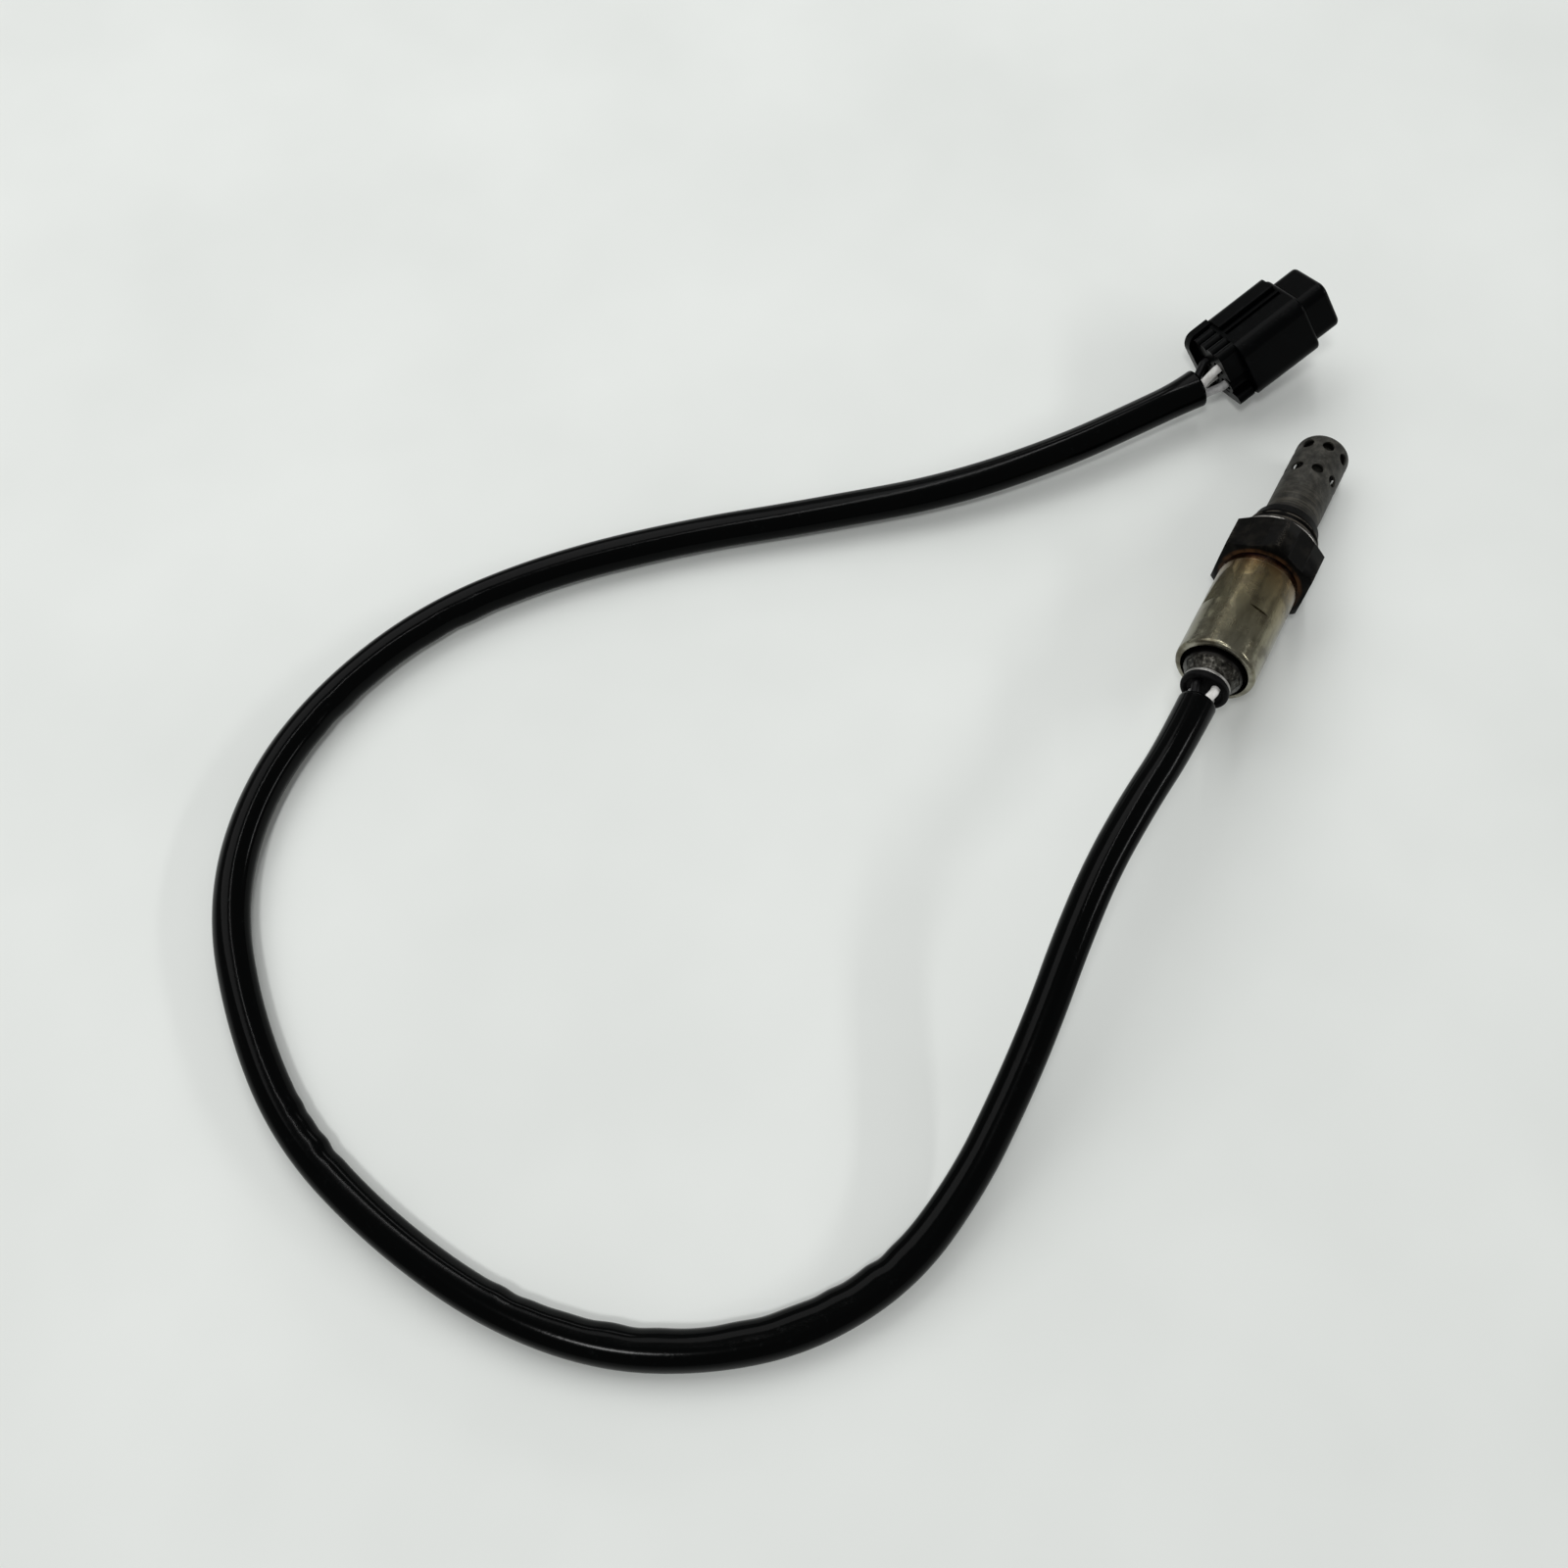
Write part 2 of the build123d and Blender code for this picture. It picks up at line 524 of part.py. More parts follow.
# ---------------------------------------------------------------- leads and tube
def cord_points():
    """The middle line's corners, from the sensor's axis to the plug."""
    start = (LAY_DOWN * Pos(0, 0, CORD_START)).position
    return [start] + [Vector(x, y, SURFACE_Z + height) for x, y, height in ROUTE]


def arc_radii(points):
    """Each corner's arc takes 0.45 of the shorter run beside it."""
    radii = []
    for before, corner, after in zip(points, points[1:], points[2:]):
        into = corner - before
        out = after - corner
        half_turn = radians(into.get_angle(out)) / 2
        radii.append(0.45 * min(into.length, out.length) / tan(half_turn))
    return radii


def swept(points, radii, diameter):
    """A round bar along straight runs joined by tangent arcs."""
    path = FilletPolyline(*points, radius=radii)
    section = Plane(path @ 0, z_dir=path % 0) * Circle(diameter / 2)
    return sweep(section, path=path), path.length


def protective_tube():
    points = cord_points()
    radii = arc_radii(points)
    tube, length = swept(points, radii, CORD_D)
    print("tube length %.1f, volume / (section x length) %.5f"
          % (length, tube.volume / (pi * CORD_D**2 / 4 * length)))
    print("arc radii", [round(radius) for radius in radii])
    return tube


def plug_point(x, y, z):
    return (PLUG_PLACE * Pos(x, y, z)).position


def lead_at_sensor(angle):
    """From its contact, through the grommet and into the mouth of the tube."""
    corners = [
        (LEAD_PITCH_R, LEAD_FRONT),
        (LEAD_PITCH_R, GROMMET_END - LEAD_D / 4),
        (BUNDLE_R, CORD_START + LEAD_D / 2),
        (BUNDLE_R, CORD_START + SEAM),
    ]
    route = [(LAY_DOWN * Pos(*polar(radius, angle, z))).position for radius, z in corners]
    return swept(route, [LEAD_BEND, LEAD_BEND], LEAD_D)[0]


def lead_at_plug(way):
    """From the end of the tube, through a seal and into a terminal's crimp barrel."""
    points = cord_points()
    ahead = (points[-1] - points[-2]).normalized()
    side = plug_point(0, *way) - plug_point(0, 0, 0)
    side = (side - ahead * side.dot(ahead)).normalized() * BUNDLE_R
    leave = points[-1] + side + ahead * SEAM
    enter = plug_point(REAR_FACE - LEAD_D / 2, *way)
    end = plug_point(TERMINAL_BACK - SEAM, *way)
    return swept([leave, leave + ahead * LEAD_D / 2, enter, end], [LEAD_BEND, LEAD_BEND], LEAD_D)[0]


# ---------------------------------------------------------------- plug
def bar_x(diameter, low, high, y=0.0, z=0.0):
    return Pos((low + high) / 2, y, z) * Rot(0, 90, 0) * Cylinder(diameter / 2, high - low)


def centred(size, low_x):
    """A block on the plug's axis, from low_x forwards."""
    return block(size, (low_x, -size[1] / 2, -size[2] / 2))


def rounded(body, radius, front_edge):
    body = fillet(body.edges().filter_by(Axis.X), radius)
    return fillet(body.faces().sort_by(Axis.X)[-1].edges(), front_edge)


def plug_housing():
    wide, high = BODY_SIZE
    side, top = wide / 2, high / 2
    nose = rounded(centred((NOSE_LEN + 1, *NOSE_SIZE), -NOSE_LEN - 1), NOSE_ROUND, NOSE_EDGE)
    body = rounded(centred((BODY_LEN, wide, high), BODY_BACK), BODY_ROUND, BODY_EDGE)
    pad_low = BODY_FRONT - PAD_INSET - PAD_LEN
    pad = block((PAD_LEN, PAD_W, PAD_H + BODY_ROUND), (pad_low, side - PAD_W, top - BODY_ROUND))
    pad_edges = pad.edges().filter_by(Axis.X).group_by(Axis.Z)[-1].sort_by(Axis.Y)
    pad = fillet(pad_edges[0], PAD_H / 2)
    pad_edges = pad.edges().filter_by(Axis.X).group_by(Axis.Z)[-1].sort_by(Axis.Y)
    pad = fillet(pad_edges[-1], PAD_CORNER)
    saddle_high = top - SADDLE_RIB_R
    saddle_wide = SKIRT_T + SADDLE_RIBS * SADDLE_PITCH
    saddle = block((REAR_LEN + 1, saddle_wide, saddle_high), (REAR_FACE, side - saddle_wide, 0))
    skirt = block((REAR_LEN + 1 + SKIRT_OVER, SKIRT_T, high + SKIRT_RISE),
                  (REAR_FACE - SKIRT_OVER, side - SKIRT_T, -top))
    skirt = fillet(skirt.edges().filter_by(Axis.Y).group_by(Axis.X)[0].sort_by(Axis.Z)[-1], SKIRT_CORNER)
    under = block((REAR_LEN + 1, wide - BODY_ROUND, SKIRT_T), (REAR_FACE, -side + BODY_ROUND, -top))
    lug = block(LUG_SIZE, (REAR_FACE, -side + LUG_INSET, -top))
    lug = fillet(lug.edges().filter_by(Axis.X).group_by(Axis.Y)[0], LUG_ROUND)
    housing = nose + body + pad + saddle + skirt + under + lug
    for number in range(SADDLE_RIBS):
        at = side - SKIRT_T - (number + 0.5) * SADDLE_PITCH
        housing += bar_x(2 * SADDLE_RIB_R, REAR_FACE, BODY_BACK, at, saddle_high)
    for y, z in WAYS:
        housing += bar_x(WAY_D + 2 * WAY_WALL, REAR_FACE, BODY_BACK, y, z)
    for gap in (1, 2):
        at = side - PAD_W - gap * RIB_GAP - (gap - 1) * RIB_W
        housing -= block((PAD_LEN, RIB_GAP, RIB_GAP), (pad_low, at, top - RIB_GAP / 2))
    for y, z in WAYS:
        housing -= bar_x(WAY_D, REAR_FACE - HOLE_SINK, TERMINAL_FRONT, y, z)
        slot = centred((SLOT_DEPTH + 1, *SLOT_SIZE), TERMINAL_FRONT - HOLE_SINK)
        housing -= Pos(0, y, z) * slot
    pocket = (LOCK_T + LOCK_INSET + SEAM, LOCK_SIZE[0] + 2 * FIT, LOCK_SIZE[1] + 2 * FIT)
    return housing - centred((pocket[0] + HOLE_SINK, *pocket[1:]), -pocket[0])


def terminal_lock():
    plate = centred((LOCK_T, *LOCK_SIZE), -LOCK_INSET - LOCK_T)
    plate = fillet(plate.faces().sort_by(Axis.X)[-1].edges(), LOCK_T / 4)
    for y, z in WAYS:
        plate -= Pos(0, y, z) * centred((LOCK_T + 1, *SLOT_SIZE), -LOCK_INSET - LOCK_T - 0.5)
    return plate


def plug_terminals():
    """Box contacts with a crimp barrel, one in each way."""
    wide, high = TERMINAL_SIZE
    shell = centred((TERMINAL_LEN, wide, high), TERMINAL_BACK)
    hollow = (TERMINAL_LEN - BARREL_LEN, wide - 2 * TERMINAL_WALL, high - 2 * TERMINAL_WALL)
    shell -= centred(hollow, TERMINAL_BACK + BARREL_LEN)
    barrel = bar_x(BARREL_D, TERMINAL_BACK - BARREL_LEN, TERMINAL_BACK)
    barrel -= bar_x(LEAD_D + 2 * FIT, TERMINAL_BACK - BARREL_LEN - 1, TERMINAL_BACK - SEAM)
    terminal = shell + barrel
    return [Pos(0, y, z) * terminal for y, z in WAYS]


def wire_seals():
    low = REAR_FACE + SEAL_INSET
    seal = bar_x(WAY_D - 2 * FIT, low, low + SEAL_LEN)
    seal -= bar_x(LEAD_D + 2 * LEAD_CLEAR, low - 1, low + SEAL_LEN + 1)
    return [Pos(0, y, z) * seal for y, z in WAYS]


# ---------------------------------------------------------------- assembly
def sensor_pieces():
    return {
        "hex_housing": hex_housing(),
        "seat_gasket": seat_gasket(),
        "outer_protection_tube": outer_protection_tube(),
        "inner_protection_tube": inner_protection_tube(),
        "sensing_element": sensing_element(),
        "heater_rod": heater_rod(),
        **packing(),
        **contacts(),
        "rear_insulator": rear_insulator(),
        "outer_shell": outer_shell(),
        "neck_sleeve": neck_sleeve(),
        "lead_grommet": lead_grommet(),
    }


def plug_pieces():
    return {
        "plug_housing": [plug_housing()],
        "terminal_lock": [terminal_lock()],
        "plug_terminals": plug_terminals(),
        "wire_seals": wire_seals(),
    }


def main():
    nodes = {name: [LAY_DOWN * solid] for name, solid in sensor_pieces().items()}
    for name, solids in plug_pieces().items():
        nodes[name] = [PLUG_PLACE * solid for solid in solids]
    for (name, angle), way in zip(LEADS.items(), LEAD_WAYS):
        nodes[name] = [lead_at_sensor(angle), lead_at_plug(way)]
    nodes["protective_tube"] = [protective_tube()]
    for name, solids in nodes.items():
        parts = [solid for piece in solids for solid in piece.solids()]
        shape = parts[0] if len(parts) == 1 else Compound(parts)
        export_step(shape, f"parts/{name}.step")
    print("dip %.2f degrees, surface at %.3f" % (DIP, SURFACE_Z))
    for name, solids in nodes.items():
        height = min(solid.bounding_box().min.Z for solid in solids) - SURFACE_Z
        if height < 1:
            print("%s: %.2f above the surface" % (name, height))


main()
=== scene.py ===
"""Looks of the oxygen sensor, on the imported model's frame.

Camera, sleeve, thread, materials, floor and light. Lengths are in mm, except where a comment
says metres, and MM scales them to Blender's metres.
"""
import math

import bpy
from mathutils import Matrix, Vector, noise


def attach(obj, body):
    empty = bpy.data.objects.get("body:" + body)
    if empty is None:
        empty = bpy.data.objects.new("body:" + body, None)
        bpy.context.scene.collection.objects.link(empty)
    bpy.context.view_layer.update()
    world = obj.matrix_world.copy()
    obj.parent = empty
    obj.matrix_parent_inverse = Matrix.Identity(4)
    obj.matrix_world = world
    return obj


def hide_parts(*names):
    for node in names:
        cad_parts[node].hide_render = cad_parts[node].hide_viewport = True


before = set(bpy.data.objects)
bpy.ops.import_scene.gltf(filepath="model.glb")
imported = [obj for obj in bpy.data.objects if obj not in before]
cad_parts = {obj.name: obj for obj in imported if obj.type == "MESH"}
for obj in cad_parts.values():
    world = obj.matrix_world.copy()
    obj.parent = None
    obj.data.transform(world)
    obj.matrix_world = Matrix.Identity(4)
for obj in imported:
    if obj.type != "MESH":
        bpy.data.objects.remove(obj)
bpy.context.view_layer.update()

MM = 0.001
TO_MM = 1000.0
SURFACE_Z = -12.1254                       # the flat surface that everything lies on
AXIS = Vector((0.986742, 0.0, -0.162298))  # along the sensor, towards its tip
SIDE = Vector((0.0, 1.0, 0.0))
UPPER = Vector((0.162298, 0.0, 0.986742))  # square to the axis, away from the surface
SEAT = 1.3                                 # the hexagon's seat lies this far behind the origin

# ---------------------------------------------------------------- camera
LENS = 38.25
SENSOR_WIDTH = 36.0
NEAREST = 0.01                             # metres
EYE_PLACE = Vector((-242.07, 1.7, 347.72))
EYE_BACK = Vector((-0.344, -0.1909, 0.9194))
EYE_RIGHT = Vector((0.4851, -0.8744, 0.0))

camera = bpy.data.cameras.new("view_camera")
camera.sensor_fit = "HORIZONTAL"
camera.sensor_width = SENSOR_WIDTH
camera.lens = LENS
camera.clip_start = NEAREST
eye = bpy.data.objects.new("view_camera", camera)
bpy.context.scene.collection.objects.link(eye)
back = EYE_BACK.normalized()
right = EYE_RIGHT.normalized()
pose = Matrix((right, back.cross(right), back)).transposed().to_4x4()
pose.translation = EYE_PLACE * MM
eye.matrix_world = pose
bpy.context.scene.camera = eye

# ---------------------------------------------------------------- the sleeved lead
# the same corners as in the part's source: x, y and height above the surface
ROUTE = [
    (-67.1, 0.0, 23.3), (-82.8, 1.5, 24.3), (-100.0, 2.2, 23.4), (-117.3, 1.0, 21.0),
    (-133.9, -1.1, 17.2), (-151.1, -2.3, 12.6), (-171.4, -2.6, 8.2), (-192.8, 1.0, 5.4),
    (-211.7, 12.2, 4.4), (-226.4, 28.6, 4.25), (-236.5, 49.1, 4.25), (-240.4, 72.8, 4.25),
    (-238.1, 100.4, 4.25), (-231.0, 127.9, 4.25), (-215.9, 151.0, 4.25), (-194.9, 171.8, 4.25),
    (-168.7, 181.6, 4.25), (-141.1, 180.9, 4.25), (-112.5, 171.8, 4.25), (-86.2, 153.2, 4.3),
    (-62.8, 129.4, 4.4), (-40.9, 102.7, 4.9), (-20.4, 78.4, 5.9), (2.2, 58.6, 7.2),
    (22.2, 44.8, 8.2), (35.7, 35.9, 8.9),
]
CORD_START = Vector((-52.988, 0.0, 8.715))
CORD_R = 4.2
CORD_STEP = 0.5
CORD_SIDES = 36
ROUTE_RESOLUTION = 32
BEND_REACH = 4                # points either way over which a bend is read
STRAIGHT = 1e-6               # a bend below this counts as none
ROUNDING = 1e-9

# where the sleeve puckers inside its bends: distance along it, reach, depth and length of a fold
PUCKERS = [
    (146.0, 4.5, 0.26, 9.0), (156.0, 6.0, 0.12, 8.0), (176.0, 13.0, 0.13, 13.0),
    (203.0, 12.0, 0.17, 11.0), (229.0, 5.0, 0.20, 9.0), (281.0, 4.0, 0.26, 8.5),
    (292.0, 5.0, 0.10, 6.0), (398.0, 8.0, 0.14, 10.0), (436.0, 9.0, 0.16, 12.0),
]
PUCKER_GATHER = 1.5           # how closely the folds keep to the very inside of a bend
# where the sleeve lies flattened in its tight bend: distance along it, reach and widening
FLATS = [(165.0, 24.0, 0.38), (206.0, 14.0, 0.22)]
# the leads' lay that shows through: ridges round the sleeve, height, and mm along it per radian
LAYS = [(5, 0.05, 42.0), (9, 0.025, -60.0)]
WAVER = 0.07                  # slow unevenness of its skin
WAVER_RATE = 0.045            # steps of noise per mm along it
WAVER_SEED = 7.0
CALM_END = 8.0                # towards each end, lay and folds fade out over this length
LAID_FLAT = 0.12              # the underside gives this much where it lies on the surface
MOUTH_REACH = 11.0
SENSOR_MOUTH_FLARE = 0.25
PLUG_MOUTH_FLARE = 1.1
PLUG_MOUTH_ALL_ROUND = 0.55   # share of that flare that is even all round
PLUG_MOUTH_UPWARDS = 0.45     # share that goes to the upper side


def route_line(points):
    """Points along the smooth NURBS line through the route."""
    curve = bpy.data.curves.new("route", "CURVE")
    curve.dimensions = "3D"
    spline = curve.splines.new("NURBS")
    spline.points.add(len(points) - 1)
    for item, point in zip(spline.points, points):
        item.co = (*(Vector(point) * MM), 1.0)
    spline.order_u = 3
    spline.use_endpoint_u = True
    curve.resolution_u = ROUTE_RESOLUTION
    holder = bpy.data.objects.new("route", curve)
    bpy.context.scene.collection.objects.link(holder)
    mesh = bpy.data.meshes.new_from_object(holder)
    line = [vertex.co.copy() / MM for vertex in mesh.vertices]
    bpy.data.objects.remove(holder)
    bpy.data.meshes.remove(mesh)
    return line


def evenly(line, step):
    """The same line with points about a step apart, and its length."""
    total = sum((b - a).length for a, b in zip(line, line[1:]))
    count = round(total / step)
    gap = total / count
    out = [line[0]]
    left = gap
    for a, b in zip(line, line[1:]):
        run = (b - a).length
        done = 0.0
        while run - done >= left - ROUNDING and len(out) < count:
            done += left
            out.append(a.lerp(b, done / run))
            left = gap
        left -= run - done
    out.append(line[-1])
    return out, total


def new_object(name, vertices, faces, smooth=True):
    """An object in the scene, from vertices and faces."""
    mesh = bpy.data.meshes.new(name)
    mesh.from_pydata([Vector(v) * MM for v in vertices], [], faces)
    mesh.update()
    if smooth:
        for face in mesh.polygons:
            face.use_smooth = True
    item = bpy.data.objects.new(name, mesh)
    bpy.context.scene.collection.objects.link(item)
    return item


def sleeve_tube(name, line, radius):
    """A closed tube round the line, with its radius from radius(distance, turn, out, inside).

    That is the distance along the line, the turn round it, the direction outwards, and how far
    that direction points to the inside of the bend: 1 at its very inside, -1 at its outside.
    """
    last = len(line) - 1
    tangents = [
        (line[min(i + 1, last)] - line[max(i - 1, 0)]).normalized() for i in range(last + 1)
    ]
    side = tangents[0].cross(Vector((0, 0, 1))).normalized()
    vertices, faces = [], []
    distance = 0.0
    n = CORD_SIDES
    for i, (point, along) in enumerate(zip(line, tangents)):
        if i:
            distance += (point - line[i - 1]).length
        side = (side - along * side.dot(along)).normalized()
        other = along.cross(side)
        bend = tangents[min(i + BEND_REACH, last)] - tangents[max(i - BEND_REACH, 0)]
        for k in range(n):
            turn = 2 * math.pi * k / n
            out = side * math.cos(turn) + other * math.sin(turn)
            inside = out.dot(bend.normalized()) if bend.length > STRAIGHT else 0.0
            vertices.append(point + out * radius(distance, turn, out, inside))
    for i in range(last):
        for k in range(n):
            a, b = i * n + k, i * n + (k + 1) % n
            faces.append((a, b, b + n, a + n))
    faces.append(tuple(range(n - 1, -1, -1)))
    faces.append(tuple(range(last * n, (last + 1) * n)))
    return new_object(name, vertices, faces)


def hump(distance, at, reach):
    """1 at a place along the sleeve, fading away within its reach."""
    return math.exp(-((distance - at) / reach) ** 2)


def sleeve_radius(distance, turn, out, inside):
    """The thin sleeve shows its leads' lay, puckers inside its bends and flares at its ends."""
    to_plug = cord_length - distance
    slow = noise.noise(Vector((distance * WAVER_RATE, math.cos(turn), math.sin(turn) + WAVER_SEED)))
    lay = sum(high * math.cos(ridges * turn + distance / pace) for ridges, high, pace in LAYS)
    lay += WAVER * slow
    fold = sum(
        depth * hump(distance, at, reach) * math.sin(2 * math.pi * (distance - at) / length)
        for at, reach, depth, length in PUCKERS
    ) * max(0.0, inside) ** PUCKER_GATHER
    calm = min(1.0, min(distance, to_plug) / CALM_END)
    level = 1 - out.z * out.z
    wide = sum(more * hump(distance, at, reach) for at, reach, more in FLATS) * level
    sensor_mouth = SENSOR_MOUTH_FLARE * max(0.0, 1 - distance / (2 * MOUTH_REACH))
    plug_mouth = max(0.0, 1 - to_plug / MOUTH_REACH) ** 2 * (
        PLUG_MOUTH_ALL_ROUND + PLUG_MOUTH_UPWARDS * out.z)
    underside = LAID_FLAT * max(0.0, -out.z) ** 4
    return (CORD_R + (lay + fold) * calm + wide + sensor_mouth
            + PLUG_MOUTH_FLARE * plug_mouth - underside)


corners = [CORD_START] + [Vector((x, y, SURFACE_Z + h)) for x, y, h in ROUTE]
cord_line, cord_length = evenly(route_line(corners), CORD_STEP)
tube = sleeve_tube("sleeve", cord_line, sleeve_radius)
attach(tube, "root")
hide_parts("protective_tube")

# ---------------------------------------------------------------- the thread
THREAD_PITCH = 1.5
THREAD_ROOT_R = 8.3
THREAD_CUT_R = 9.1            # outside the thread's crest
THREAD_CUT = (0.5, 6.1)       # on the upright sensor, past both ends of the thread
THREAD_HALF_WIDTH = 0.49 * THREAD_PITCH
THREAD_STEPS = 60             # round one turn
SHARP_ANGLE = 32              # degrees: steeper edges stay sharp


def on_sensor(radius, turn, height):
    """A point by its place on the upright sensor."""
    return AXIS * (height - SEAT) + (SIDE * math.cos(turn) + UPPER * math.sin(turn)) * radius


def thread_cutter():
    """The V-shaped groove between the thread's turns, as one closed coil."""
    turns = (THREAD_CUT[1] - THREAD_CUT[0]) / THREAD_PITCH
    count = round(turns * THREAD_STEPS)
    vertices, faces = [], []
    for i in range(count + 1):
        turn = 2 * math.pi * i / THREAD_STEPS
        height = THREAD_CUT[0] + THREAD_PITCH * i / THREAD_STEPS
        vertices.append(on_sensor(THREAD_CUT_R, turn, height - THREAD_HALF_WIDTH))
        vertices.append(on_sensor(THREAD_CUT_R, turn, height + THREAD_HALF_WIDTH))
        vertices.append(on_sensor(THREAD_ROOT_R, turn, height))
    for i in range(count):
        for k in range(3):
            a, b = 3 * i + k, 3 * i + (k + 1) % 3
            faces.append((b, a, a + 3, b + 3))
    faces.append((0, 1, 2))
    faces.append((3 * count + 2, 3 * count + 1, 3 * count))
    return new_object("thread_cutter", vertices, faces, smooth=False)


def cut_copy(name, plain, cutter):
    """A copy of a CAD piece with the cutter's shape taken out of it."""
    item = plain.copy()
    item.data = plain.data.copy()
    item.name = name
    bpy.context.scene.collection.objects.link(item)
    cut = item.modifiers.new("cut", "BOOLEAN")
    cut.operation = "DIFFERENCE"
    cut.solver = "EXACT"
    cut.object = cutter
    bpy.context.view_layer.update()
    done = item.evaluated_get(bpy.context.evaluated_depsgraph_get())
    mesh = bpy.data.meshes.new_from_object(done)
    mesh.set_sharp_from_angle(angle=math.radians(SHARP_ANGLE))
    item.modifiers.clear()
    item.data = mesh
    bpy.data.objects.remove(cutter)
    # what the frame says of the plain piece isn't copied
    for key in [key for key in item.keys() if key.startswith("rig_")]:
        del item[key]
    return item


housing = cut_copy("threaded_housing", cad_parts["hex_housing"], thread_cutter())
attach(housing, "root")
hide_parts("hex_housing")

# ---------------------------------------------------------------- procedural materials
# places on the upright sensor that the looks go by: a radius or height at which each look is
# still absent, and one at which it is full
HEX_CORNER_R = (12.15, 12.65)
THREAD_CREST_R = (8.82, 8.97)
SHANK_HEIGHT = (-0.5, 0.3)
SCORCH_R = (10.55, 9.7)
SCORCH_HEIGHT = (-10.3, -10.7)
GASKET_EDGE_R = (10.3, 10.6)
TUBE_BROWN_HEIGHT = (22.0, 11.0)
NECK_PAINTED_SHADE_HEIGHT = (-43.3, -42.3)
NECK_ROLL_HEIGHT = (-45.7, -46.0)
# the gasket's painted highlight along its outer edge: from, to and softness
GASKET_EDGE = (0.35, 0.60, 0.12)


class Look:
    """A Principled material and short calls for the nodes that feed it."""

    def __init__(self, name, **sockets):
        self.mat = bpy.data.materials.new(name)
        self.mat.use_nodes = True
        self.tree = self.mat.node_tree
        self.shader = self.tree.nodes["Principled BSDF"]
        self.place = self.tree.nodes.new("ShaderNodeTexCoord").outputs["Object"]
        for socket, value in sockets.items():
            self.put(socket.replace("_", " "), value)

    def plug(self, socket, value):
        """Link a socket to another one, or set its value."""
        if isinstance(value, bpy.types.NodeSocket):
            self.tree.links.new(value, socket)
        elif isinstance(value, tuple) and len(value) == 3 and len(socket.default_value) == 4:
            socket.default_value = (*value, 1.0)
        else:
            socket.default_value = value

    def put(self, socket, value):
        """Set or link one of the shader's own sockets."""
        self.plug(self.shader.inputs[socket], value)

    def calc(self, operation, *values, clamp=False):
        node = self.tree.nodes.new("ShaderNodeMath")
        node.operation = operation
        node.use_clamp = clamp
        for socket, value in zip(node.inputs, values):
            self.plug(socket, value)
        return node.outputs[0]

    def times(self, a, b):
        return self.calc("MULTIPLY", a, b)

    def plus(self, a, b):
        return self.calc("ADD", a, b)

    def dot(self, direction):
        """How far along a direction, in mm."""
        node = self.tree.nodes.new("ShaderNodeVectorMath")
        node.operation = "DOT_PRODUCT"
        self.plug(node.inputs[0], self.place)
        node.inputs[1].default_value = direction * TO_MM
        return node.outputs["Value"]

    def along(self):
        """Height on the upright sensor: 0 at the hexagon's seat, + towards the tip."""
        return self.plus(self.dot(AXIS), SEAT)

    def radius(self):
        """Distance from the sensor's axis."""
        y, z = self.dot(SIDE), self.dot(UPPER)
        return self.calc("SQRT", self.plus(self.times(y, y), self.times(z, z)))

    def noise(self, size, detail=4.0, rough=0.55, shift=0.0):
        """Noise whose features are about size mm."""
        scale = self.tree.nodes.new("ShaderNodeVectorMath")
        scale.operation = "MULTIPLY_ADD"
        self.plug(scale.inputs[0], self.place)
        scale.inputs[1].default_value = Vector((1, 1, 1)) * (TO_MM / size)
        scale.inputs[2].default_value = (shift, shift * 0.7, shift * 1.3)
        return self.noise_at(scale.outputs[0], detail, rough)

    def turned_noise(self, round_size, along_size, detail=3.0, shift=0.0):
        """Noise drawn out round the sensor or along it, for marks that run that way."""
        join = self.tree.nodes.new("ShaderNodeCombineXYZ")
        along = self.calc("MULTIPLY_ADD", self.dot(AXIS), 1.0 / along_size, shift)
        self.plug(join.inputs[0], self.times(self.dot(SIDE), 1.0 / round_size))
        self.plug(join.inputs[1], self.times(self.dot(UPPER), 1.0 / round_size))
        self.plug(join.inputs[2], along)
        return self.noise_at(join.outputs[0], detail)

    def noise_at(self, place, detail, rough=0.5):
        node = self.tree.nodes.new("ShaderNodeTexNoise")
        node.inputs["Scale"].default_value = 1.0
        node.inputs["Detail"].default_value = detail
        node.inputs["Roughness"].default_value = rough
        self.tree.links.new(place, node.inputs["Vector"])
        return node.outputs["Fac"]

    def span(self, value, low, high):
        """0 below low, 1 above high, smooth between; low may be above high."""
        node = self.tree.nodes.new("ShaderNodeMapRange")
        node.interpolation_type = "SMOOTHSTEP"
        self.plug(node.inputs["Value"], value)
        node.inputs["From Min"].default_value = low
        node.inputs["From Max"].default_value = high
        return node.outputs[0]

    def band(self, value, low, high, soft):
        """1 between low and high, 0 beyond them, with soft sides."""
        rise = self.span(value, low - soft, low + soft)
        fall = self.span(value, high + soft, high - soft)
        return self.times(rise, fall)

    def ramp(self, value, stops):
        """Colours, or greys, at their places from 0 to 1."""
        node = self.tree.nodes.new("ShaderNodeValToRGB")
        self.plug(node.inputs["Fac"], value)
        elements = node.color_ramp.elements
        while len(elements) < len(stops):
            elements.new(0.5)
        for element, (place, colour) in zip(elements, stops):
            element.position = place
            if not isinstance(colour, tuple):
                colour = (colour, colour, colour)
            element.color = (*colour, 1.0)
        return node.outputs["Color"]

    def by_height(self, stops):
        """A ramp of colours by height on the upright sensor."""
        low = stops[0][0]
        reach = stops[-1][0] - low
        share = self.calc("DIVIDE", self.calc("SUBTRACT", self.along(), low), reach, clamp=True)
        return self.ramp(share, [((at - low) / reach, colour) for at, colour in stops])

